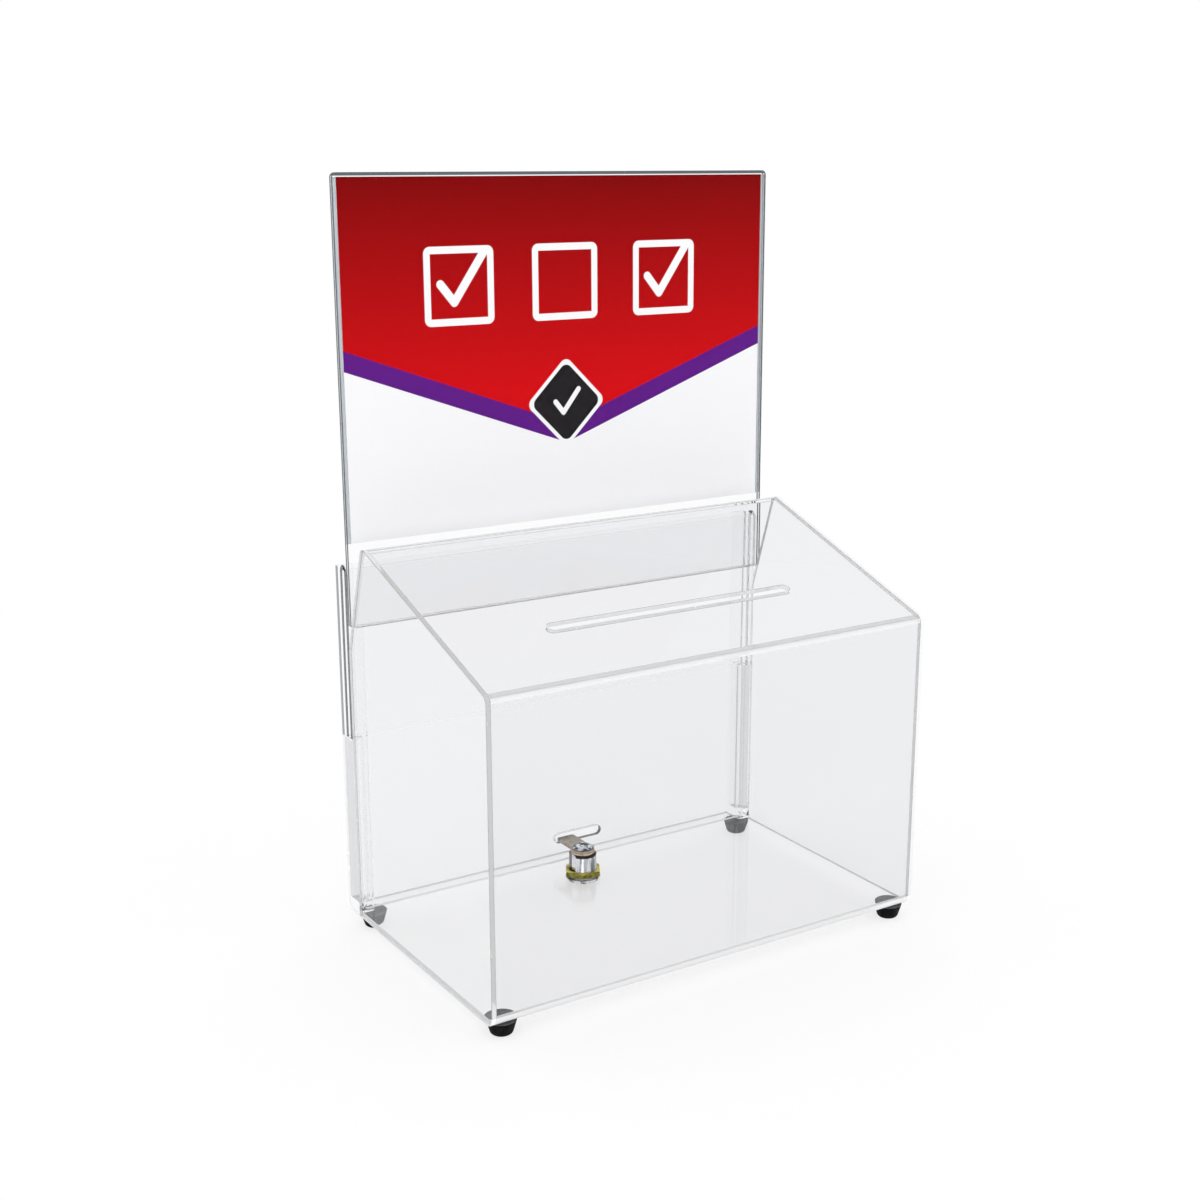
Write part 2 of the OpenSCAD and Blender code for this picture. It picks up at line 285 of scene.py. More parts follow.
def startBlock(name, low, high):
    clearSelection()
    bpy.ops.mesh.primitive_cube_add(size=1, location=[(a + b) / 2 * mm for a, b in zip(low, high)])
    piece = bpy.context.object
    piece.name = name
    piece.scale = [(b - a) * mm for a, b in zip(low, high)]
    return settle(piece)


def startSheet(name, halfWide, a, b):
    # A flat strip between two (y, z) points, with its middle at X 0
    clearSelection()
    bpy.ops.mesh.primitive_plane_add(size=1)
    piece = bpy.context.object
    piece.name = name
    along = Vector((0, b[0] - a[0], b[1] - a[1])) * mm
    piece.scale = (2 * halfWide * mm, along.length, 1)
    piece.rotation_euler = (atan2(along.z, along.y), 0, 0)
    piece.location = (0, (a[0] + b[0]) / 2 * mm, (a[1] + b[1]) / 2 * mm)
    return settle(piece)


def applyModifier(piece, kind, **values):
    makeActive(piece)
    modifier = piece.modifiers.new(kind.lower(), kind)
    for key, value in values.items():
        setattr(modifier, key, value)
    bpy.ops.object.modifier_apply(modifier=modifier.name)


def cutAway(piece, tool, operation="DIFFERENCE"):
    applyModifier(piece, "BOOLEAN", object=tool, operation=operation, solver="EXACT")
    bpy.data.objects.remove(tool)


def thicken(piece, y, way, thickness):
    # Gives a sheet its thickness inwards, once its largest face at y looks towards way
    face = max((p for p in piece.data.polygons if abs(p.center.y - y * mm) < near), key=lambda p: p.area)
    if face.normal.y * way < 0:
        piece.data.flip_normals()
    applyModifier(piece, "SOLIDIFY", thickness=thickness * mm, offset=-1, use_even_offset=True)


def bendReach(a, b, c, radius):
    # How far from corner b its rounding starts
    u, v = (Vector(a) - Vector(b)).normalized(), (Vector(c) - Vector(b)).normalized()
    return radius / tan(u.angle(v) / 2)


def coatFaces(piece, material, test, clearOnly=False):
    # Gives the faces whose centre and normal pass the test a finish of their own
    piece.data.materials.append(material)
    piece.active_material_index = len(piece.data.materials) - 1
    makeActive(piece)
    editPiece()
    choose("faces", lambda f: (f.material_index == 0 or not clearOnly) and test(centreOf(f), f.normal))
    bpy.ops.object.material_slot_assign()
    leaveEdit()


def stand(piece, body, *replaced):
    settle(piece)
    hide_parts(*replaced)
    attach(piece, body)
    return piece


# Acrylic

marksSpec = {"detail": 4, "low": 0.5, "high": 0.75, "depth": 0.0004}


def handlingMarks():
    # Faint streaks and smudges on polished sheet: a roughness and a height
    group, make, link, given, result = newGroup(
        "handlingMarks", ("Scale", "Roughness", "Spread"), ("Roughness", "Height"))
    spot = addNode(make, "TexCoord")
    cloud = addNode(make, "TexNoise", {"Detail": marksSpec["detail"]})
    link.new(spot.outputs["Object"], cloud.inputs["Vector"])
    link.new(given["Scale"], cloud.inputs["Scale"])
    smudge = addSmooth(make, marksSpec["low"], marksSpec["high"])
    link.new(cloud.outputs[0], smudge.inputs["Value"])
    calc = mathIn(make, link)
    rough = calc("MULTIPLY_ADD", smudge.outputs[0], given["Spread"], given["Roughness"])
    link.new(rough, result["Roughness"])
    link.new(cloud.outputs[0], result["Height"])
    return group


marks = handlingMarks()


def clearMaterial(name, spec):
    material, make, link, surface = newMaterial(name)
    tint = (*spec["tint"], 1)
    glass = addNode(make, "BsdfPrincipled", {
        "Base Color": tint, "IOR": spec["ior"], "Transmission Weight": spec["clear"]})
    if "inside" in spec:  # painted shade and light: a sawn edge is coloured dark seen from outside and pale seen from within the sheet
        facing = addNode(make, "NewGeometry")
        sides = addNode(make, "Mix", {"A": tint, "B": (*spec["inside"], 1)}, data_type="RGBA")
        link.new(facing.outputs["Backfacing"], sides.inputs["Factor"])
        link.new(sides.outputs["Result"], glass.inputs["Base Color"])
    wear = addNode(make, "Group", {"Scale": spec["markScale"], "Roughness": spec["roughness"],
                                   "Spread": spec["spread"]}, node_tree=marks)
    link.new(wear.outputs["Roughness"], glass.inputs["Roughness"])
    if spec["bump"]:
        addBump(make, link, wear.outputs["Height"], glass, spec["bump"], marksSpec["depth"])
    # Lamps shine through, so the shadow stays light
    lampWay = addNode(make, "BsdfTransparent", {"Color": (*spec["shade"], 1)})
    path = addNode(make, "LightPath")
    mixShaders(make, link, path.outputs["Is Shadow Ray"], glass, lampWay, surface)
    return material


acrylicBase = {"clear": 1, "ior": 1.15, "markScale": 18, "roughness": 0, "spread": 0.004, "bump": 0,
               "shade": (0.995, 0.995, 0.997)}
acrylicSpecs = {  # each adds to the base, or to the finish that it is like
    "clearAcrylic": {"tint": (0.938, 0.940, 0.946)},
    # Painted shade: the front of the bent sheet is tinted darker than the rest of it
    "frontShadedAcrylic": {"tint": (0.905, 0.907, 0.914)},
    "lidAcrylic": {"like": "clearAcrylic", "ior": 1.06},
    # Painted light: the floor of the bent sheet is tinted almost clear, against the shadow under the box
    "floorLightenedAcrylic": {"tint": (0.998, 0.998, 1.0), "ior": 1.28, "markScale": 14, "spread": 0.02},
    "acrylicRim": {"tint": (0.875, 0.878, 0.883), "clear": 0.4, "ior": 1.1, "markScale": 160,
                   "roughness": 0.2, "spread": 0.1, "bump": 0.015, "shade": (0.95, 0.95, 0.95)},
    # Painted shade: a dark grey chamfer draws the dark outline along a sheet's edge
    "chamferShade": {"tint": (0.42, 0.43, 0.44), "clear": 0.4, "ior": 1.3, "markScale": 200,
                       "roughness": 0.15, "spread": 0.1, "bump": 0.04, "shade": (0.88, 0.88, 0.88)},
    # Painted highlight: a pale, mostly opaque coat on the bottom bend and the sheet's side edges
    "paleHighlight": {"tint": (0.96, 0.962, 0.968), "clear": 0.15, "ior": 1.1, "markScale": 60,
                    "roughness": 0.05, "spread": 0.05, "shade": (0.97, 0.97, 0.97)},
    "curlShade": {"like": "paleHighlight", "tint": (0.58, 0.583, 0.59), "clear": 0.4},
    "curlGleam": {"like": "paleHighlight", "tint": (0.88, 0.883, 0.89), "clear": 0.5},
    "ridgeGleam": {"like": "paleHighlight", "tint": (0.92, 0.922, 0.928), "clear": 0.3},
    # Painted light: a white, nearly opaque coat on bottom strips, against the shade from below
    "footRimPaintedLight": {"like": "paleHighlight", "tint": (1, 1, 1), "clear": 0.08},
    "doorAcrylic": {"tint": (0.978, 0.979, 0.983), "shade": (0.994, 0.994, 0.995)},
    "doorSheet": {"like": "doorAcrylic", "tint": (0.932, 0.934, 0.940), "ior": 1.1},
    "foldSheet": {"like": "doorAcrylic", "tint": (0.992, 0.993, 0.996), "ior": 1.06},
    # Painted shade: the guide rails' outer faces are tinted grey
    "railSideShade": {"like": "doorAcrylic", "tint": (0.61, 0.615, 0.63), "clear": 0.95, "ior": 1.08},
    # Painted shade and light: rims coloured near black from outside and pale from within the sheet
    "doorRimShadeAndLight": {"tint": (0.07, 0.075, 0.08), "inside": (0.85, 0.855, 0.86), "clear": 0.5, "ior": 1.3,
                "markScale": 200, "roughness": 0.12, "spread": 0.15, "bump": 0.06, "shade": (0.9, 0.9, 0.9)},
    # Painted shade and light: the same, in a lighter grey from outside
    "stackRimShadeAndLight": {"like": "doorRimShadeAndLight", "tint": (0.22, 0.23, 0.25)},
    "holderAcrylic": {"tint": (0.992, 0.992, 0.994), "ior": 1.05, "shade": (0.99, 0.99, 0.993)},
    # Painted shade: near black rims and chamfers for the card holder's dark outline
    "holderRimShade": {"tint": (0.10, 0.11, 0.12), "clear": 0.25, "ior": 1.2, "markScale": 200,
                  "roughness": 0.2, "spread": 0.1, "bump": 0.05, "shade": (0.85, 0.85, 0.85)},
    # Painted shade: a dark band along the holder's top
    "holderTopShade": {"like": "holderRimShade", "tint": (0.20, 0.225, 0.25), "clear": 0.5, "ior": 1.05},
    "holderSeam": {"tint": (0.62, 0.65, 0.68), "clear": 0.7, "markScale": 60,
                   "roughness": 0.1, "spread": 0.1, "bump": 0.05, "shade": (0.95, 0.95, 0.95)},
    "holderFoot": {"like": "holderSeam", "tint": (0.86, 0.865, 0.87), "clear": 0.85, "ior": 1.05},
}
clears = {name: clearMaterial(name, {**acrylicBase, **acrylicSpecs.get(spec.get("like"), {}), **spec})
          for name, spec in acrylicSpecs.items()}
print("acrylic ready")

# The box as the CAD has it, but for the lid's bend, which is sharper in the photograph
boxSpec = {
    "frontY": -94.15, "rearY": 78.85, "backY": 94.15, "floorZ": 9, "frontTopZ": 199,
    "ridgeY": 56.85, "ridgeZ": 250, "kneeZ": 182, "slantEndZ": 197.668, "halfWidth": 151.5, "sheet": 3,
    "bottomBend": 6, "lidBend": 5, "ridgeBend": 4.5, "bendSteps": 10,
    "bondGap": 0.03, "chamfer": 0.32, "tongueHalf": 141.4, "footStrip": 6.5,
}
frontY, rearY, backY, floorZ, frontTopZ, ridgeY, ridgeZ, kneeZ, slantEndZ, half, sheetThick, gap = (
    boxSpec[key] for key in ("frontY", "rearY", "backY", "floorZ", "frontTopZ", "ridgeY", "ridgeZ",
                             "kneeZ", "slantEndZ", "halfWidth", "sheet", "bondGap"))
innerHalf = half - sheetThick
lidAngle = atan((ridgeZ - frontTopZ) / (ridgeY - frontY))
slantAngle = atan((rearY - ridgeY) / (ridgeZ - kneeZ))
bends = (((frontY, floorZ), (rearY, floorZ), (frontY, frontTopZ), boxSpec["bottomBend"]),
         ((frontY, frontTopZ), (frontY, floorZ), (ridgeY, ridgeZ), boxSpec["lidBend"]),
         ((ridgeY, ridgeZ), (frontY, frontTopZ), (rearY, kneeZ), boxSpec["ridgeBend"]))
dressSpec = {"smooth": 28, "fold": 40, "normalWeight": 100}


def roundBends():
    for corner, a, c, radius in bends:
        roundEdges(atLine(*corner), bendReach(a, corner, c, radius), boxSpec["bendSteps"])


def dressSheet(piece, isRim, finishes=("clearAcrylic", "acrylicRim", "chamferShade"),
               chamfer=boxSpec["chamfer"]):
    # Clear faces, sawn rims, and a narrow chamfer between them; the default chamfer finish is a dark painted
    # shade line
    for name in finishes:
        piece.data.materials.append(clears[name])
    makeActive(piece)
    editPiece()
    choose("faces", lambda f: isRim(centreOf(f), f.normal))
    piece.active_material_index = 1
    bpy.ops.object.material_slot_assign()
    choose("edges", lambda e: len(e.link_faces) == 2 and e.calc_face_angle(0) > radians(dressSpec["fold"])
           and {f.material_index for f in e.link_faces} == {0, 1})
    bpy.ops.mesh.bevel(offset=chamfer * mm, offset_type="OFFSET", segments=1, affect="EDGES",
                       clamp_overlap=True, material=2)
    leaveEdit()
    bpy.ops.object.shade_smooth_by_angle(angle=radians(dressSpec["smooth"]))
    applyModifier(piece, "WEIGHTED_NORMAL", keep_sharp=True, weight=dressSpec["normalWeight"])


def sidePanel(name, node, x0, x1):
    piece = startBlock(name, (x0, frontY, floorZ), (x1, rearY, ridgeZ))
    editPiece()
    cutAll((0, frontY, frontTopZ), (0, -sin(lidAngle), cos(lidAngle)), trim=True)
    cutAll((0, rearY, kneeZ), (0, cos(slantAngle), sin(slantAngle)), trim=True)
    roundBends()
    leaveEdit()
    dressSheet(piece, lambda c, n: abs(n.x) < partly)
    # Painted light: the bottom strip is coated white
    coatFaces(piece, clears["footRimPaintedLight"], lambda c, n: c.z < floorZ + boxSpec["footStrip"])
    return stand(piece, "box", node)


sidePanel("sidePanelLeft", "side_panel_left", -half, -innerHalf)
sidePanel("sidePanelRight", "side_panel_right", innerHalf, half)

# One bent sheet: rear tongue, floor, front, lid and rear slant
wrap = startSheet("wrapSheet", innerHalf - gap, (rearY, floorZ), (frontY, floorZ))
spare = 3  # the slant is drawn too long, and then cut level
drop = ridgeZ - slantEndZ + spare
editPiece()
for side in (-1, 1):
    cutAll((side * boxSpec["tongueHalf"], 0, 0), (1, 0, 0))
choose("edges", atLine(frontY, floorZ))
pull(0, 0, frontTopZ - floorZ)
choose("edges", atLine(frontY, frontTopZ))
pull(0, ridgeY - frontY, ridgeZ - frontTopZ)
choose("edges", atLine(ridgeY, ridgeZ))
pull(0, drop * tan(slantAngle), -drop)
choose("edges", lambda e: atLine(rearY, floorZ)(e) and abs(centreOf(e).x) < boxSpec["tongueHalf"] / 2)
pull(0, backY - rearY, 0)
roundBends()
bpy.ops.mesh.select_all(action="SELECT")
bpy.ops.mesh.normals_make_consistent(inside=False)
leaveEdit()
thicken(wrap, frontY, -1, sheetThick)
editPiece()
choose("faces", lambda f: centreOf(f).y > ridgeY and centreOf(f).z > kneeZ)
cutSelected((0, 0, slantEndZ), (0, 0, -1), trim=True)
leaveEdit()

slotSpec = {"length": 170, "width": 7, "y": -44.15, "steps": 10, "cut": 8, "margin": 0.1, "span": 5.35}
slotEnd, slotSide, slotCut = slotSpec["length"] / 2, slotSpec["width"] / 2, slotSpec["cut"]
flatEnd = 0.01  # so much of a round end stays flat, so that its two bevels don't meet
cutter = startBlock("slotCutter", (-slotEnd, -slotSide, -slotCut), (slotEnd, slotSide, slotCut))
roundBlock(2, slotSide - flatEnd, slotSpec["steps"])
cutter.rotation_euler = (lidAngle, 0, 0)
cutter.location = (0, slotSpec["y"] * mm, (frontTopZ + (slotSpec["y"] - frontY) * tan(lidAngle)) * mm)
settle(cutter)
cutAway(wrap, cutter)

lockSpec = {"x": -2.5, "y": 55.85, "barrel": 9.0, "flat": 8.0, "holePlay": 0.08, "holeReach": 10.5}
axis = (lockSpec["x"], lockSpec["y"])


def startRod(name, radius, z0, z1, sides):
    # An upright cylinder or prism on the lock's axis
    clearSelection()
    bpy.ops.mesh.primitive_cylinder_add(vertices=sides, radius=radius * mm, depth=(z1 - z0) * mm,
                                        location=(axis[0] * mm, axis[1] * mm, (z0 + z1) / 2 * mm))
    piece = bpy.context.object
    piece.name = name
    return piece


def axisBlock(name, dx, dy, z0, z1):
    # A block with its middle on the lock's axis
    return startBlock(name, (axis[0] - dx, axis[1] - dy, z0), (axis[0] + dx, axis[1] + dy, z1))


def trimFlats(flat):
    editPiece()
    for side in (-1, 1):
        cutAll((axis[0] + side * flat, 0, 0), (side, 0, 0), trim=True)
    leaveEdit()


cutter = settle(startRod("lockHoleCutter", lockSpec["barrel"] + lockSpec["holePlay"], floorZ - sheetThick,
                         floorZ + 2 * sheetThick, 64))
trimFlats(lockSpec["flat"] + lockSpec["holePlay"])
cutAway(wrap, cutter)
# Where the sheet changes its finish, in millimetres and in shares of a normal
wrapSpec = {"lidZ": 190, "notLid": 0.05, "tongueY": 77.5, "endPlay": 0.05, "floorTopZ": 12.5,
            "bendTopZ": 15.5, "bendY": -80, "curlY": -85, "ridgeZ": 245, "ridgeY": 45,
            "curlSplit": 0.55, "curlLow": 0.02, "sameTilt": 0.002}
w = wrapSpec
lidCos = cos(lidAngle)
curlTop = lidCos - w["sameTilt"]


def wrapRim(c, n):
    inSlot = (abs(c.x) < slotEnd + slotSpec["margin"] and abs(c.y - slotSpec["y"]) < slotSpec["span"]
              and c.z > w["lidZ"] and abs(abs(n.z) - lidCos) > w["notLid"])
    inHole = (c - Vector((*axis, floorZ))).length < lockSpec["holeReach"] and abs(n.z) < partly
    tongueEnd = c.y > w["tongueY"] and n.y > mainly
    slantEnd = n.z < -mainly and abs(c.z - slantEndZ) < w["endPlay"]
    return inSlot or inHole or tongueEnd or slantEnd


dressSheet(wrap, wrapRim)


def onCurl(c, n, low, high):
    # On the bend between front and lid, where the normal's tilt is between low and high
    return c.y < w["curlY"] and c.z > w["lidZ"] and low < abs(n.z) < high and abs(n.x) < partly


# Parts of the bent sheet take painted shade, painted light and painted highlight: the front, floor, bends,
# ridge and curl
for name, test in (
        ("frontShadedAcrylic", lambda c, n: abs(n.y) > fully and c.y < 0),
        ("floorLightenedAcrylic", lambda c, n: abs(n.z) > fully and c.z < w["floorTopZ"]),
        ("paleHighlight", lambda c, n: c.z < w["bendTopZ"] and c.y < w["bendY"]),
        ("lidAcrylic", lambda c, n: c.z > frontTopZ and abs(abs(n.z) - lidCos) < w["sameTilt"]),
        ("ridgeGleam", lambda c, n: c.z > w["ridgeZ"] and c.y > w["ridgeY"] and abs(n.x) < partly),
        ("curlShade", lambda c, n: onCurl(c, n, w["curlSplit"], curlTop)),
        ("curlGleam", lambda c, n: onCurl(c, n, w["curlLow"], w["curlSplit"])),
        ("paleHighlight", lambda c, n: abs(n.x) > mainly)):
    coatFaces(wrap, clears[name], test, clearOnly=True)
stand(wrap, "box", "wrap_panel")
print("box shell ready")

# Corner strips, rails and retaining strips behind the rear edges
rearSpec = {"stopWidth": 7, "railLand": 6, "railFootZ": 18, "railTopZ": 125, "bayY": 91.15, "lipY": 82.45,
            "retainerTopZ": 232, "retainerBend": 6, "retainerSteps": 8, "play": 0.05, "tipY": 79.5,
            "margin": 0.1}
rearFinishes = ("doorAcrylic", "acrylicRim", "doorAcrylic")
railTopZ = rearSpec["railTopZ"]


def doorStop(name, node, side):
    x0, x1 = sorted((side * (innerHalf - gap), side * (innerHalf - rearSpec["stopWidth"])))
    piece = startBlock(name, (x0, rearY - sheetThick, floorZ + sheetThick + gap),
                       (x1, rearY - gap, slantEndZ - gap))
    dressSheet(piece, lambda c, n: n.z > partly, rearFinishes)
    return stand(piece, "box", node)


def guideRail(name, node, side):
    land, outer = half - rearSpec["railLand"], half - rearSpec["margin"]
    lipY = rearSpec["lipY"]
    x0, x1 = sorted((side * half, side * (innerHalf - rearSpec["stopWidth"])))
    piece = startBlock(name, (x0, lipY, rearSpec["railFootZ"]), (x1, rearSpec["bayY"] - gap, railTopZ))
    editPiece()
    cutAll((side * land, 0, 0), (1, 0, 0))
    choose("faces", lambda f: f.normal.y < -mainly and abs(centreOf(f).x) > land)
    pull(0, rearY + gap - lipY, 0)
    leaveEdit()
    dressSheet(piece, lambda c, n: abs(n.z) > partly, rearFinishes)
    # Painted shade: the rail's outer face is tinted grey
    coatFaces(piece, clears["railSideShade"], lambda c, n: side * n.x > mainly and abs(c.x) > outer)
    return stand(piece, "box", node)


def retainer(name, node, side):
    inner = innerHalf - rearSpec["stopWidth"] + rearSpec["play"]
    piece = startSheet(name, (half - inner) / 2, (backY, rearSpec["retainerTopZ"]), (backY, floorZ))
    piece.location = (side * (half + inner) / 2 * mm, 0, 0)
    settle(piece)
    editPiece()
    choose("edges", atLine(backY, floorZ))
    pull(0, rearY + gap - backY, 0)
    roundEdges(atLine(backY, floorZ), rearSpec["retainerBend"], rearSpec["retainerSteps"])
    leaveEdit()
    thicken(piece, backY, 1, sheetThick)
    editPiece()
    cutAll((0, 0, railTopZ), (0, 0, 1))
    leaveEdit()

    def isRim(c, n):
        atTop = n.z > mainly and c.z > slantEndZ
        atTip = n.y < -mainly and c.y < rearSpec["tipY"]
        return side * n.x > partly or atTop or atTip
    dressSheet(piece, isRim, rearFinishes)
    # Painted shade and light on the retainer's outer edge above the rail
    coatFaces(piece, clears["stackRimShadeAndLight"], lambda c, n: side * n.x > partly and c.z > railTopZ)
    return stand(piece, "box", node)


for side, word in ((-1, "Left"), (1, "Right")):
    doorStop("doorStop" + word, "door_stop_" + word.lower(), side)
    guideRail("guideRail" + word, "guide_rail_" + word.lower(), side)
    retainer("retainer" + word, "retainer_" + word.lower(), side)

# The rear door with its folded top
doorSpec = {"frontY": 79.15, "rearY": 88.15, "footZ": 12.4, "shoulderZ": 125.3, "topZ": 234,
            "foldRadius": 4.498, "foldSteps": 8, "foldY": 84.5, "halfHigh": 151.2, "halfLow": 145.1,
            "slotLeft": -9.5, "slotRight": 25.8, "slotLow": 25.6, "slotHigh": 32, "slotSteps": 8,
            "cutFront": 2, "cutRear": 4, "margin": 0.1, "sideZ": 126, "endZ": 12.6, "stripZ": 12.8}
d = doorSpec
y0, y1, footZ, shoulderZ, topZ = (d[key] for key in ("frontY", "rearY", "footZ", "shoulderZ", "topZ"))
isShoulder, isFrontFold, isRearFold = atLine(y0, shoulderZ), atLine(y0, topZ), atLine(y1, topZ)
door = startSheet("rearDoor", d["halfHigh"], (y0, shoulderZ), (y0, topZ))
editPiece()
for side in (-1, 1):
    cutAll((side * d["halfLow"], 0, 0), (1, 0, 0))
choose("edges", lambda e: isShoulder(e) and abs(centreOf(e).x) < d["halfLow"] / 2)
pull(0, 0, footZ - shoulderZ)
choose("edges", isFrontFold)
pull(0, y1 - y0, 0)
choose("edges", isRearFold)
pull(0, 0, shoulderZ - topZ)
roundEdges(lambda e: isFrontFold(e) or isRearFold(e), d["foldRadius"], d["foldSteps"])
leaveEdit()
thicken(door, y0, -1, sheetThick)
cutter = startBlock("camSlotCutter", (d["slotLeft"], y0 - d["cutFront"], d["slotLow"]),
                    (d["slotRight"], y0 + d["cutRear"], d["slotHigh"]))
roundBlock(1, (d["slotHigh"] - d["slotLow"]) / 2 - flatEnd, d["slotSteps"])
cutAway(door, cutter)


def isDoorRim(c, n):
    play = d["margin"]
    inSlot = (d["slotLeft"] - play < c.x < d["slotRight"] + play
              and d["slotLow"] - play < c.z < d["slotHigh"] + play and abs(n.y) < partly)
    atSide = abs(n.x) > mainly and c.z > d["sideZ"]
    return atSide or inSlot or n.z < -mainly and c.z < d["endZ"]


# Painted shade and light on the door's side rims and cam slot rim
dressSheet(door, isDoorRim, ("doorSheet", "doorRimShadeAndLight", "doorRimShadeAndLight"))
coatFaces(door, clears["foldSheet"], lambda c, n: c.y > d["foldY"], clearOnly=True)
# Painted light: the door's foot strip is coated white
coatFaces(door, clears["footRimPaintedLight"], lambda c, n: c.z < d["stripZ"] and abs(n.y) < mainly)
stand(door, "door", "back_door")
print("rear ready")

# The card holder leans back a little, about its foot
holderSpec = {"foot": (0, 73.95, 197.918), "lean": 0.35, "halfWidth": 151.5, "height": 262.6, "sheet": 1.5,
              "gap": 1.0, "corner": 3, "cornerSteps": 8, "leg": 50, "cardHeight": 210, "sideRim": 2.7,
              "chamfer": 0.22, "bond": 0.02, "band": 1.9, "footLine": 0.5, "margin": 0.1}
h = holderSpec
lean = Matrix.Translation(Vector(h["foot"]) * mm) @ Matrix.Rotation(-radians(h["lean"]), 4, "X")
bandZ, legX = h["height"] - h["band"], h["halfWidth"] - h["sideRim"]


def holderSheet(name, node, y0):
    piece = startBlock(name, (-h["halfWidth"], y0, 0), (h["halfWidth"], y0 + h["sheet"], h["height"]))
    editPiece()
    roundEdges(lambda e: runsAlong(e, 1) and centreOf(e).z > h["height"] / 2, h["corner"], h["cornerSteps"])
    cutAll((0, 0, bandZ), (0, 0, 1))
    leaveEdit()
    # Painted shade: near black rims and chamfers, and a dark band along the top
    dressSheet(piece, lambda c, n: abs(n.y) < partly, ("holderAcrylic", "holderRimShade", "holderRimShade"),
               h["chamfer"])
    coatFaces(piece, clears["holderTopShade"], lambda c, n: c.z > bandZ, clearOnly=True)
    coatFaces(piece, clears["holderFoot"], lambda c, n: c.z < h["footLine"])
    piece.matrix_world = lean
    return stand(piece, "header", node)


holderSheet("holderFront", "header_front_sheet", 0)
holderSheet("holderBack", "header_back_sheet", h["sheet"] + h["gap"])
y0, y1 = h["sheet"] + h["bond"], h["sheet"] + h["gap"] - h["bond"]
spacer = startBlock("holderSpacer", (-h["halfWidth"], y0, 0), (h["halfWidth"], y1, h["leg"]))
editPiece()
for side in (-1, 1):
    cutAll((side * legX, 0, 0), (1, 0, 0))
for side in (-1, 1):
    choose("faces", lambda f: f.normal.z > mainly and side * centreOf(f).x > legX)
    pull(0, 0, h["cardHeight"])
leaveEdit()
spacer.data.materials.append(clears["holderAcrylic"])
coatFaces(spacer, clears["holderSeam"], lambda c, n: abs(c.x) > legX - h["margin"] and c.z > h["leg"])
spacer.matrix_world = lean
stand(spacer, "header", "header_spacer")
print("holder ready")


# Metal and rubber

grainSpec = {"stretch": (1, 1, 7), "detail": 6, "patchDetail": 3, "low": 0.42, "high": 0.62,
             "depth": 0.0002}


def metalFinish():
    # Fine lines along the turning and darker patches, drawn out upwards by Draw. The patches are dirt, and on
    # the chrome, drawn out into upright streaks, they are painted reflection
    group, make, link, given, result = newGroup(
        "metalFinish", ("Grain", "Roughness", "Spread", "DirtAndReflection", "Patch", "Draw"),
        ("Roughness", "Height", "Tone"))
    calc = mathIn(make, link)
    spot = addNode(make, "TexCoord")
    stretch = addNode(make, "Mapping", {"Scale": grainSpec["stretch"]})
    link.new(spot.outputs["Object"], stretch.inputs["Vector"])
    grain = addNode(make, "TexNoise", {"Detail": grainSpec["detail"]})
    link.new(stretch.outputs[0], grain.inputs["Vector"])
    link.new(given["Grain"], grain.inputs["Scale"])
    draw = addNode(make, "CombineXYZ", {"X": 1, "Y": 1})
    link.new(given["Draw"], draw.inputs["Z"])
    drawn = addNode(make, "Mapping")
    link.new(draw.outputs[0], drawn.inputs["Scale"])
    link.new(spot.outputs["Object"], drawn.inputs["Vector"])
    patch = addNode(make, "TexNoise", {"Detail": grainSpec["patchDetail"]})
    link.new(given["Patch"], patch.inputs["Scale"])
    link.new(drawn.outputs[0], patch.inputs["Vector"])
    crisp = addSmooth(make, grainSpec["low"], grainSpec["high"])
    link.new(patch.outputs[0], crisp.inputs["Value"])
    link.new(calc("MULTIPLY_ADD", grain.outputs[0], given["Spread"], given["Roughness"]), result["Roughness"])
    link.new(grain.outputs[0], result["Height"])
    link.new(calc("MULTIPLY", crisp.outputs[0], given["DirtAndReflection"]), result["Tone"])
    return group


finish = metalFinish()


def solidMaterial(name, spec):
    material, make, link, surface = newMaterial(name)
    shader = addNode(make, "BsdfPrincipled", {"Metallic": spec["metal"], "Specular IOR Level": spec["shine"]})
    wear = addNode(make, "Group", {title: spec[title.lower()] for title in (
        "Grain", "Roughness", "Spread", "DirtAndReflection", "Patch", "Draw")}, node_tree=finish)
    link.new(wear.outputs["Roughness"], shader.inputs["Roughness"])
    tint = addNode(make, "Mix", {"A": (*spec["colour"], 1), "B": (*spec["patchColour"], 1)}, data_type="RGBA")
    link.new(wear.outputs["Tone"], tint.inputs["Factor"])
    link.new(tint.outputs["Result"], shader.inputs["Base Color"])
    addBump(make, link, wear.outputs["Height"], shader, spec["bump"], grainSpec["depth"])
    link.new(shader.outputs[0], surface)
    return material


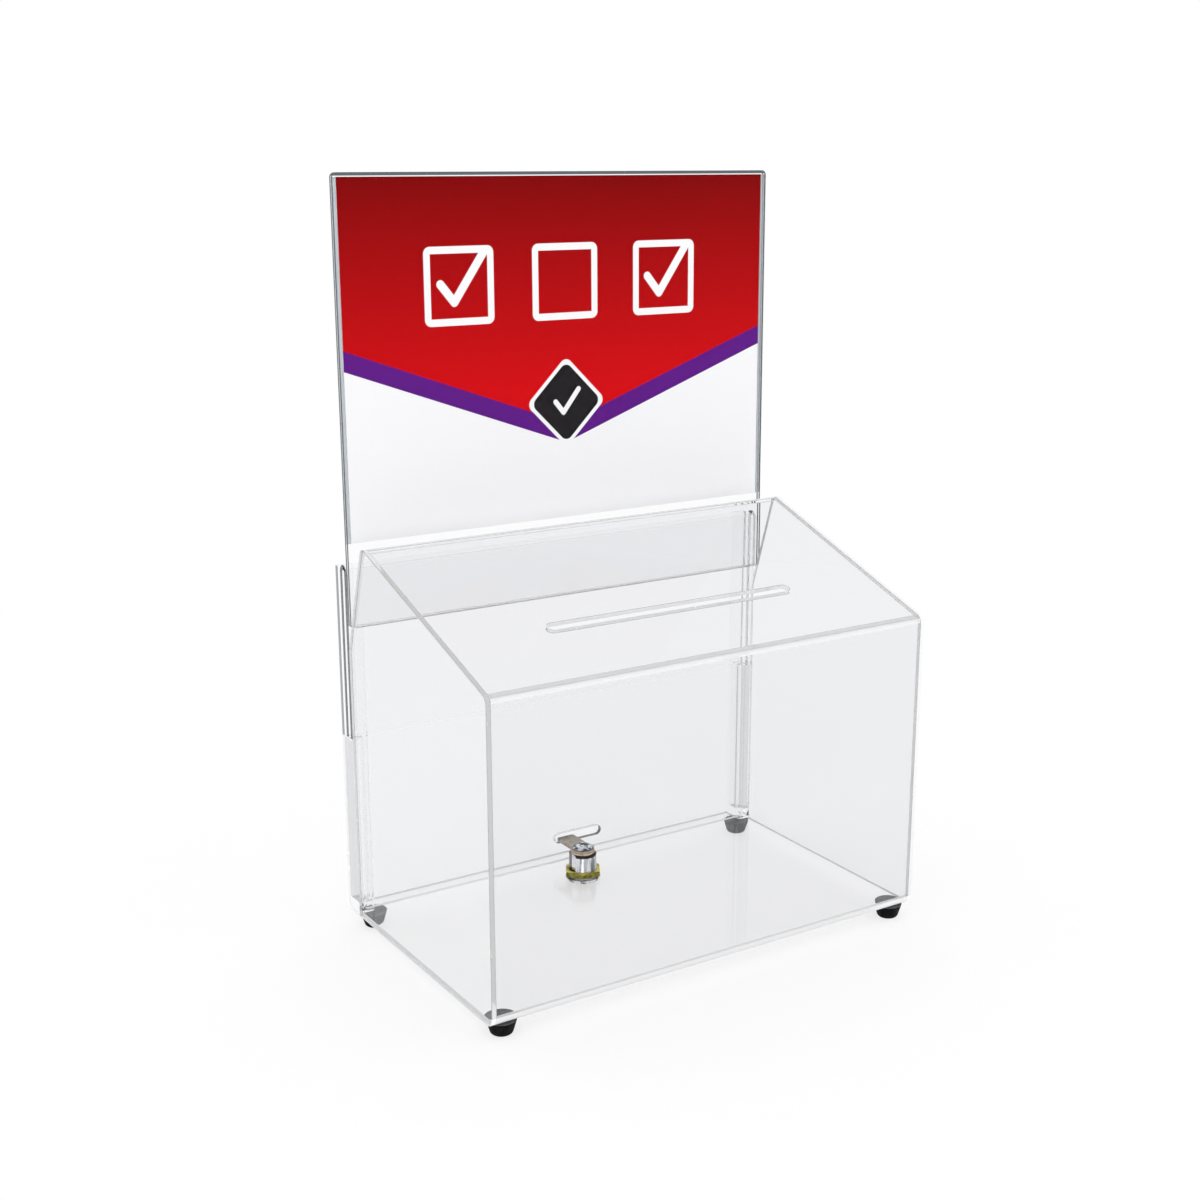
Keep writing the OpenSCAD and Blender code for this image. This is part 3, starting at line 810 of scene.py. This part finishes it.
finishBase = {"metal": 1, "shine": 0.5, "spread": 0.2, "dirtandreflection": 0.8, "patch": 260, "draw": 1}
finishSpecs = {  # each adds to the base
    # On the chrome the dark patches are drawn out into upright bands of painted reflection
    "polishedChrome": {"colour": (0.86, 0.87, 0.89), "patchColour": (0.10, 0.10, 0.11), "grain": 900,
                       "roughness": 0.08, "spread": 0.12, "dirtandreflection": 0.9, "patch": 330, "draw": 0.06,
                       "bump": 0.05},
    "yellowZinc": {"colour": (0.62, 0.56, 0.10), "patchColour": (0.22, 0.21, 0.03), "grain": 700,
                   "roughness": 0.22, "patch": 150, "bump": 0.12},
    # Painted shade: a darker copy of the zinc for the nut's upright sides
    "zincPaintedShade": {"colour": (0.30, 0.27, 0.045), "patchColour": (0.08, 0.07, 0.012), "grain": 700,
                  "roughness": 0.26, "dirtandreflection": 0.9, "patch": 220, "bump": 0.12},
    "copperWasher": {"colour": (0.82, 0.55, 0.34), "patchColour": (0.20, 0.09, 0.05), "grain": 800,
                     "roughness": 0.2, "dirtandreflection": 0.6, "bump": 0.08},
    "nickelSteel": {"colour": (0.42, 0.37, 0.32), "patchColour": (0.27, 0.24, 0.21), "grain": 1100,
                    "roughness": 0.26, "spread": 0.22, "bump": 0.12},
    "screwSteel": {"colour": (0.74, 0.78, 0.82), "patchColour": (0.03, 0.033, 0.04), "grain": 900,
                   "roughness": 0.16, "dirtandreflection": 0.95, "patch": 330, "bump": 0.08},
    # Painted shade: near black steel put in grooves and recesses where shade falls
    "paintedShadeSteel": {"colour": (0.012, 0.012, 0.014), "patchColour": (0.04, 0.04, 0.045), "metal": 0.6, "grain": 900,
                  "roughness": 0.35, "dirtandreflection": 0.6, "bump": 0.08, "shine": 0.3},
    "padRubber": {"colour": (0.075, 0.075, 0.078), "patchColour": (0.11, 0.11, 0.115), "metal": 0, "grain": 1500,
                  "roughness": 0.7, "spread": 0.25, "bump": 0.3, "shine": 0.2},
    "blackRubber": {"colour": (0.003, 0.003, 0.0035), "patchColour": (0.010, 0.010, 0.011), "metal": 0,
                    "grain": 1500, "roughness": 0.5, "spread": 0.25, "bump": 0.35, "shine": 0.06},
}
coats = {name: solidMaterial(name, {**finishBase, **spec}) for name, spec in finishSpecs.items()}


def mergeAll():
    bpy.ops.mesh.select_all(action="SELECT")
    bpy.ops.mesh.remove_doubles(threshold=weld)
    bpy.ops.mesh.select_all(action="SELECT")


def lathe(name, points, place, steps=64, smooth=32):
    # Turns a closed (radius, z) outline, drawn out from one point, about the vertical through place
    clearSelection()
    bpy.ops.mesh.primitive_plane_add(size=1 * mm, location=(points[0][0] * mm, 0, points[0][1] * mm))
    piece = bpy.context.object
    piece.name = name
    settle(piece)
    editPiece()
    bpy.ops.mesh.select_mode(type="VERT")
    bpy.ops.mesh.select_all(action="SELECT")
    bpy.ops.mesh.merge(type="CENTER")
    for (r0, z0), (r1, z1) in zip(points, points[1:]):
        pull(r1 - r0, 0, z1 - z0)
    mergeAll()
    bpy.ops.mesh.spin(steps=steps, angle=2 * pi, center=(0, 0, 0), axis=(0, 0, 1))
    mergeAll()
    bpy.ops.mesh.normals_make_consistent(inside=False)
    leaveEdit()
    piece.location = (place[0] * mm, place[1] * mm, 0)
    settle(piece)
    bpy.ops.object.shade_smooth_by_angle(angle=radians(smooth))
    return piece


def joinPieces(first, second):
    makeActive(first)
    second.select_set(True)
    bpy.ops.object.join()


def paintPiece(piece, material, smooth=None):
    piece.data.materials.clear()
    piece.data.materials.append(material)
    if smooth:
        makeActive(piece)
        bpy.ops.object.shade_smooth_by_angle(angle=radians(smooth))


def easeFolds(piece, spec):
    # Bevels all edges that fold by more than spec's angle
    applyModifier(piece, "BEVEL", width=spec["edge"] * mm, segments=spec["edgeSteps"],
                  limit_method="ANGLE", angle_limit=radians(spec["fold"]))


barrelSpec = {"flange": ((9.9, 6.6), (10.4, 6.75), (10.75, 7.1), (11.4, 8.6), (11.5, floorZ - gap)),
              "flangeZ": 6.6, "footZ": 8.9, "topZ": 26.8, "bore": 5.5, "pitch": 1.0, "depth": 0.42,
              "threadFrom": 12.4, "threadTo": 25.4, "edge": 0.5, "boreEdge": 0.2, "darkTop": 1.3,
              "smooth": 20}
b = barrelSpec
flange = lathe("lockFlange", [(b["bore"], b["flangeZ"]), *b["flange"], (b["bore"], floorZ - gap),
                              (b["bore"], b["flangeZ"])], axis)
bore, topZ, outside, z = b["bore"], b["topZ"], lockSpec["barrel"], b["threadFrom"]
outline = [(bore, b["footZ"]), (outside, b["footZ"]), (outside, z)]
while z < b["threadTo"]:
    outline += [(outside - b["depth"], z + b["pitch"] / 2), (outside, z + b["pitch"])]
    z += b["pitch"]
outline += [(outside, topZ - b["edge"]), (outside - b["edge"], topZ), (bore + b["boreEdge"], topZ),
            (bore, topZ - b["boreEdge"]), (bore, b["footZ"])]
barrel = lathe("lockBarrel", outline, axis, smooth=b["smooth"])
trimFlats(lockSpec["flat"])
joinPieces(barrel, flange)
paintPiece(barrel, coats["polishedChrome"], b["smooth"])
# Painted shade: the barrel's top rim is coated near black, standing for a shaded groove under the washer
coatFaces(barrel, coats["paintedShadeSteel"], lambda c, n: c.z > b["topZ"] - b["darkTop"])
stand(barrel, "box", "lock_body")

nutSpec = {"flats": 22, "z0": 12.02, "z1": 16.0, "bore": 9.05, "lead": 1.6, "leadDeep": 0.6,
           "cornerOut": 2.2, "cornerDown": 1.1, "faceIn": 0.3, "over": 0.01, "boreOver": 1, "steps": 96,
           "smooth": 22, "sideTilt": 0.2}
t = nutSpec
nutRadius, z0, z1, bore = t["flats"] / 2, t["z0"], t["z1"], t["bore"]
face, corner, lead = nutRadius - t["faceIn"], nutRadius + t["cornerOut"], bore + t["lead"]
nut = startRod("lockNut", nutRadius / cos(pi / 6), z0, z1, 6)
nut.rotation_euler = (0, 0, pi / 6)
settle(nut)
chamfers = lathe("nutChamfer", [(0, z0 - t["over"]), (face, z0 - t["over"]), (corner, z0 + t["cornerDown"]),
                                (corner, z1 - t["cornerDown"]), (face, z1 + t["over"]),
                                (0, z1 + t["over"])], axis, t["steps"])
cutAway(nut, chamfers, "INTERSECT")
over, deep = t["boreOver"], t["leadDeep"]
cutAway(nut, lathe("nutBore", [(0, z0 - over), (lead, z0 - over), (bore, z0 + deep), (bore, z1 - deep),
                               (lead, z1 + over), (0, z1 + over)], axis))
paintPiece(nut, coats["yellowZinc"], t["smooth"])
# Painted shade: the nut's upright sides are coated darker than its lit top and chamfers
coatFaces(nut, coats["zincPaintedShade"], lambda c, n: abs(n.z) < t["sideTilt"])
stand(nut, "box", "lock_nut")

plugSpec = {"radius": 5.44, "z0": 6.8, "z1": 27, "tail": 3.48, "tailTop": 29.98, "tailSink": 0.2,
            "keyWide": 1.8, "keyLong": 7.2, "keyDeep": 8, "keyOver": 2, "keyEdge": 0.35, "keySteps": 3,
            "dishIn": 3.9, "dishOut": 4.3, "edge": 0.3, "smooth": 30}
p = plugSpec
z0, edgeZ = p["z0"], p["z0"] + p["edge"]
plug = lathe("keyPlug", [(0, edgeZ), (p["dishIn"], edgeZ), (p["dishOut"], z0), (p["radius"] - p["edge"], z0),
                         (p["radius"], edgeZ), (p["radius"], p["z1"]), (0, p["z1"])], axis)
keyway = axisBlock("keyway", p["keyWide"] / 2, p["keyLong"] / 2, z0 - p["keyOver"], z0 + p["keyDeep"])
roundBlock(2, p["keyEdge"], p["keySteps"])
cutAway(plug, keyway)
tail = axisBlock("plugTail", p["tail"], p["tail"], p["z1"] - p["tailSink"], p["tailTop"])
joinPieces(plug, tail)
paintPiece(plug, coats["nickelSteel"], p["smooth"])
stand(plug, "cam", "lock_plug")

washerSpec = {"bore": 5.05, "radius": 8.0, "z0": 27.03, "z1": 27.97, "edgeIn": 0.2, "edgeDown": 0.17}
v = washerSpec
rim = v["radius"] - v["edgeIn"]
washer = lathe("camWasher", [(v["bore"], v["z0"]), (rim, v["z0"]), (v["radius"], v["z0"] + v["edgeDown"]),
                             (v["radius"], v["z1"] - v["edgeDown"]), (rim, v["z1"]), (v["bore"], v["z1"]),
                             (v["bore"], v["z0"])], axis)
paintPiece(washer, coats["copperWasher"])
stand(washer, "cam", "cam_washer")

camSpec = {"heel": 7.7, "wide": 12.4, "tipY": 78.85, "z0": 28.0, "z1": 30.0, "hole": 3.5, "corner": 1.5,
           "cornerSteps": 5, "cornerY": 70, "holeOver": 1, "edge": 0.22, "edgeSteps": 2, "fold": 50,
           "steps": 72, "smooth": 30}
a = camSpec
z0, z1 = a["z0"], a["z1"]
cam = lathe("lockCam", [(0, z0), (a["heel"], z0), (a["heel"], z1), (0, z1)], axis, a["steps"])
arm = startBlock("camArm", (axis[0] - a["wide"] / 2, axis[1], z0), (axis[0] + a["wide"] / 2, a["tipY"], z1))
roundBlock(2, a["corner"], a["cornerSteps"], a["cornerY"])
cutAway(cam, arm, "UNION")
cutAway(cam, axisBlock("camHole", a["hole"], a["hole"], z0 - a["holeOver"], z1 + a["holeOver"]))
easeFolds(cam, a)
paintPiece(cam, coats["nickelSteel"], a["smooth"])
stand(cam, "cam", "lock_cam")

screwSpec = {"head": 6.9, "z0": 30.02, "rise": 2.58, "dome": 13, "domeSteps": 8, "shank": 1.65, "shankZ": 22,
             "rimIn": 0.25, "rimUp": 0.2, "recessLong": 8.8, "recessWide": 1.6, "recessDeep": 1.5,
             "recessHigh": 4, "recessTurn": 20, "taper": 0.55, "taperDown": 0.5, "darkMiddle": 0.8,
             "darkReach": 4.6, "darkTilt": 0.6, "darkDown": 1.2, "edge": 0.1, "edgeSteps": 1, "fold": 45,
             "smooth": 30}
s = screwSpec
top = s["z0"] + s["rise"]
profile = [(0, s["shankZ"]), (s["shank"], s["shankZ"]), (s["shank"], s["z0"]),
           (s["head"] - s["rimIn"], s["z0"]), (s["head"], s["z0"] + s["rimUp"])]
for step in range(s["domeSteps"] + 1):
    r = s["head"] * (1 - step / s["domeSteps"])
    profile.append((r, top - s["dome"] + (s["dome"] ** 2 - r ** 2) ** 0.5))
screw = lathe("camScrew", profile, axis)
for angle in (0, 90):
    clearSelection()
    middleZ = top - s["recessDeep"] + s["recessHigh"] / 2
    bpy.ops.mesh.primitive_cube_add(size=1, location=(axis[0] * mm, axis[1] * mm, middleZ * mm))
    recess = bpy.context.object
    recess.scale = (s["recessLong"] * mm, s["recessWide"] * mm, s["recessHigh"] * mm)
    recess.rotation_euler = (0, 0, radians(angle + s["recessTurn"]))
    settle(recess)
    editPiece()
    choose("verts", lambda v: v.co.z < (top - s["taperDown"]) * mm)
    bpy.ops.transform.resize(value=(s["taper"], s["taper"], 1),
                             center_override=(axis[0] * mm, axis[1] * mm, 0))
    leaveEdit()
    cutAway(screw, recess)
easeFolds(screw, s)
paintPiece(screw, coats["screwSteel"], s["smooth"])
# Painted shade: the faces in and round the cross recess are coated near black
darkMiddle = Vector((*axis, top - s["darkMiddle"]))
coatFaces(screw, coats["paintedShadeSteel"], lambda c, n: (c - darkMiddle).length < s["darkReach"]
          and (abs(n.z) < s["darkTilt"] or c.z < top - s["darkDown"]))
stand(screw, "cam", "cam_screw")
print("lock ready")

footSpec = {"x": 140.5, "frontY": -84.65, "rearY": 80.15, "top": 8.75, "ground": 6.25, "height": 9,
            "edge": 2.6, "edgeSteps": 8, "hollow": 2.5, "hollowDeep": 2, "ease": 0.3, "lipIn": 0.05,
            "lipDown": 0.5, "steps": 56, "smooth": 32}
g = footSpec
ease, edge, hollow, deep, wide, high = (
    g[key] for key in ("ease", "edge", "hollow", "hollowDeep", "top", "height"))
footProfile = [(0, deep), (hollow - ease, deep), (hollow, deep - ease), (hollow, ease), (hollow + ease, 0)]
slant = atan((wide - g["ground"]) / high)
arcX = g["ground"] + edge * tan(slant) - edge / cos(slant)
for step in range(g["edgeSteps"] + 1):
    angle = -pi / 2 + (pi / 2 - slant) * step / g["edgeSteps"]
    footProfile.append((arcX + edge * cos(angle), edge + edge * sin(angle)))
footProfile += [(wide - g["lipIn"], high - g["lipDown"]), (wide, high - ease), (wide - ease, high - gap),
                (0, high - gap)]
firstFoot = lathe("footFrontLeft", footProfile, (0, 0), g["steps"])
paintPiece(firstFoot, coats["blackRubber"], g["smooth"])
coatFaces(firstFoot, coats["padRubber"], lambda c, n: n.z > partly)
for name, node, side, y in (("footFrontRight", "foot_front_right", 1, g["frontY"]),
                            ("footRearLeft", "foot_rear_left", -1, g["rearY"]),
                            ("footRearRight", "foot_rear_right", 1, g["rearY"]),
                            ("footFrontLeft", "foot_front_left", -1, g["frontY"])):
    foot = firstFoot
    if name != firstFoot.name:
        foot = firstFoot.copy()
        foot.data = firstFoot.data.copy()
        scene.collection.objects.link(foot)
        foot.name = name
    foot.location = (side * g["x"] * mm, y * mm, 0)
    stand(foot, "box", node)
print("feet ready")

# The printed card: a generic voting design, drawn with nodes over the card's own face.
# Lengths are shares of the card's width, from its lower left corner
cardLow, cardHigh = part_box("header_card")
cardSpec = {
    "redTop": (0.215, 0.0008, 0.0012, 1), "redLow": (0.66, 0.003, 0.006, 1), "redFade": 0.62,
    "white": (0.93, 0.93, 0.94, 1), "purple": (0.115, 0.012, 0.235, 1), "dark": (0.018, 0.016, 0.018, 1),
    "tipHeight": 0.20, "armRise": 0.36, "bandWidth": 0.040,
    "boxes": (0.255, 0.5, 0.745), "boxHeight": 0.70, "boxHalf": 0.078, "boxCorner": 0.014, "boxLine": 0.0072,
    "ticked": (0, 2), "tick": ((-0.042, 0.004), (-0.012, -0.032), (0.058, 0.068)), "tickHalf": 0.0088,
    "badge": (0.5, 0.245), "badgeHalf": 0.056, "badgeCorner": 0.016, "badgeRim": 0.012, "badgeIn": 0.004,
    "badgeTick": ((-0.026, 0.002), (-0.007, -0.021), (0.03, 0.026)), "badgeTickHalf": 0.0055,
    "shine": 0.04, "fibreScale": 900, "fibreDetail": 5, "fibreShade": 0.05, "fibreRough": 0.2,
    "roughness": 0.38, "fibreBump": 0.06, "fibreDepth": 0.0001,
}
edgeSharpness = 1600  # an edge is soft over a fifth of a millimetre
diagonal = 0.70711  # cosine of an eighth of a turn
hairLine = 0.0001


def clip(calc, value):
    return calc("MINIMUM", calc("MAXIMUM", value, 0), 1)


def edgeOf(calc, distance):
    # 1 inside, 0 outside
    return clip(calc, calc("MULTIPLY_ADD", distance, -edgeSharpness, 0.5))


def pairLength(calc, u, v):
    return calc("SQRT", calc("ADD", calc("MULTIPLY", u, u), calc("MULTIPLY", v, v)))


def maskGroup(name, inputs, build):
    group, make, link, given, result = newGroup(name, inputs, ("Mask",))
    link.new(build(mathIn(make, link), given), result["Mask"])
    return group


def roundedSquare(calc, s):
    # Distance to a rounded square about (CentreU, CentreV); Turn 1 stands it on a corner
    du, dv = calc("SUBTRACT", s["U"], s["CentreU"]), calc("SUBTRACT", s["V"], s["CentreV"])
    ru = calc("MULTIPLY", calc("ADD", du, dv), diagonal)
    rv = calc("MULTIPLY", calc("SUBTRACT", du, dv), diagonal)

    def pick(first, second, share):
        # first where share is 0, second where it is 1
        kept = calc("MULTIPLY", first, calc("SUBTRACT", 1, share))
        return calc("ADD", kept, calc("MULTIPLY", second, share))
    inset = calc("SUBTRACT", s["Half"], s["Corner"])
    qu = calc("SUBTRACT", calc("ABSOLUTE", pick(du, ru, s["Turn"])), inset)
    qv = calc("SUBTRACT", calc("ABSOLUTE", pick(dv, rv, s["Turn"])), inset)
    outer = pairLength(calc, calc("MAXIMUM", qu, 0), calc("MAXIMUM", qv, 0))
    inner = calc("MINIMUM", calc("MAXIMUM", qu, qv), 0)
    distance = calc("SUBTRACT", calc("ADD", outer, inner), s["Corner"])
    # Line 0 fills the square, a line width leaves its frame only
    ring = calc("SUBTRACT", calc("ABSOLUTE", calc("ADD", distance, s["Line"])), s["Line"])
    return edgeOf(calc, pick(distance, ring, calc("GREATER_THAN", s["Line"], hairLine)))


def stroke(calc, s):
    # A round-ended line from (FromU, FromV) to (ToU, ToV)
    pu, pv = calc("SUBTRACT", s["U"], s["FromU"]), calc("SUBTRACT", s["V"], s["FromV"])
    bu, bv = calc("SUBTRACT", s["ToU"], s["FromU"]), calc("SUBTRACT", s["ToV"], s["FromV"])
    dot = calc("ADD", calc("MULTIPLY", pu, bu), calc("MULTIPLY", pv, bv))
    length = calc("ADD", calc("MULTIPLY", bu, bu), calc("MULTIPLY", bv, bv))
    share = clip(calc, calc("DIVIDE", dot, length))
    eu = calc("SUBTRACT", pu, calc("MULTIPLY", bu, share))
    ev = calc("SUBTRACT", pv, calc("MULTIPLY", bv, share))
    return edgeOf(calc, calc("SUBTRACT", pairLength(calc, eu, ev), s["Half"]))


squareMask = maskGroup("squareMask", ("U", "V", "CentreU", "CentreV", "Half", "Corner", "Line", "Turn"),
                       roundedSquare)
strokeMask = maskGroup("strokeMask", ("U", "V", "FromU", "FromV", "ToU", "ToV", "Half"), stroke)


def printedCard(spec):
    material, make, link, surface = newMaterial("printedCard")
    calc = mathIn(make, link)
    shader = addNode(make, "BsdfPrincipled", {"Specular IOR Level": spec["shine"]})
    place = addNode(make, "TexCoord")
    # U runs 0 to 1 across the card and V, on the same scale, upwards from its lower edge
    wide = cardHigh.x - cardLow.x
    tall = (cardHigh.z - cardLow.z) / wide
    mapping = addNode(make, "Mapping", {"Location": (-cardLow.x / wide, 0, -cardLow.z / wide),
                                        "Scale": (1 / wide, 1 / wide, 1 / wide)})
    axes = addNode(make, "SeparateXYZ")
    link.new(place.outputs["Object"], mapping.inputs["Vector"])
    link.new(mapping.outputs[0], axes.inputs[0])
    u, v = axes.outputs["X"], axes.outputs["Z"]

    def blend(factor, a, b):
        node = addNode(make, "Mix", data_type="RGBA")
        for title, value in (("A", a), ("B", b)):
            if isinstance(value, tuple):
                node.inputs[title].default_value = value
            else:
                link.new(value, node.inputs[title])
        link.new(factor, node.inputs["Factor"])
        return node.outputs["Result"]

    def printOver(under, ink, group, **values):
        node = addNode(make, "Group", values, node_tree=group)
        link.new(u, node.inputs["U"])
        link.new(v, node.inputs["V"])
        return blend(node.outputs["Mask"], under, spec[ink])

    def tickOver(under, cu, cv, corners, halfLine):
        for (u0, v0), (u1, v1) in zip(corners, corners[1:]):
            under = printOver(under, "white", strokeMask, FromU=cu + u0, FromV=cv + v0, ToU=cu + u1,
                              ToV=cv + v1, Half=halfLine)
        return under

    # Red ground, dark above and bright below
    height = clip(calc, calc("DIVIDE", calc("SUBTRACT", tall, v), tall * spec["redFade"]))
    colour = blend(height, spec["redTop"], spec["redLow"])
    # A wide chevron parts the red from the white foot
    arm = calc("ABSOLUTE", calc("SUBTRACT", u, 0.5))
    below = calc("SUBTRACT", v, calc("MULTIPLY_ADD", arm, spec["armRise"], spec["tipHeight"]))
    colour = blend(edgeOf(calc, below), colour, spec["purple"])
    colour = blend(edgeOf(calc, calc("ADD", below, spec["bandWidth"])), colour, spec["white"])
    # Three voting squares, the first and the last ticked
    boxV = spec["boxHeight"] * tall
    for index, boxU in enumerate(spec["boxes"]):
        colour = printOver(colour, "white", squareMask, CentreU=boxU, CentreV=boxV, Half=spec["boxHalf"],
                           Corner=spec["boxCorner"], Line=spec["boxLine"], Turn=0)
        if index in spec["ticked"]:
            colour = tickOver(colour, boxU, boxV, spec["tick"], spec["tickHalf"])
    # The dark badge at the chevron's tip
    badgeU, badgeV = spec["badge"]
    for ink, grow in (("white", "badgeRim"), ("dark", "badgeIn")):
        colour = printOver(colour, ink, squareMask, CentreU=badgeU, CentreV=badgeV,
                           Half=spec["badgeHalf"] + spec[grow], Corner=spec["badgeCorner"], Line=0, Turn=1)
    colour = tickOver(colour, badgeU, badgeV, spec["badgeTick"], spec["badgeTickHalf"])
    # Only the front is printed
    facing, normal = addNode(make, "NewGeometry"), addNode(make, "SeparateXYZ")
    link.new(facing.outputs["Normal"], normal.inputs[0])
    printed = calc("LESS_THAN", normal.outputs["Y"], -partly)
    fibre = addNode(make, "TexNoise", {"Scale": spec["fibreScale"], "Detail": spec["fibreDetail"]})
    link.new(place.outputs["Object"], fibre.inputs["Vector"])
    colour = blend(calc("MULTIPLY", fibre.outputs[0], spec["fibreShade"]), colour, (0, 0, 0, 1))
    link.new(blend(printed, spec["white"], colour), shader.inputs["Base Color"])
    link.new(calc("MULTIPLY_ADD", fibre.outputs[0], spec["fibreRough"], spec["roughness"]),
             shader.inputs["Roughness"])
    addBump(make, link, fibre.outputs[0], shader, spec["fibreBump"], spec["fibreDepth"])
    link.new(shader.outputs[0], surface)
    return material


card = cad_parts["header_card"]
card.data.materials.clear()
card.data.materials.append(printedCard(cardSpec))
print("card ready")
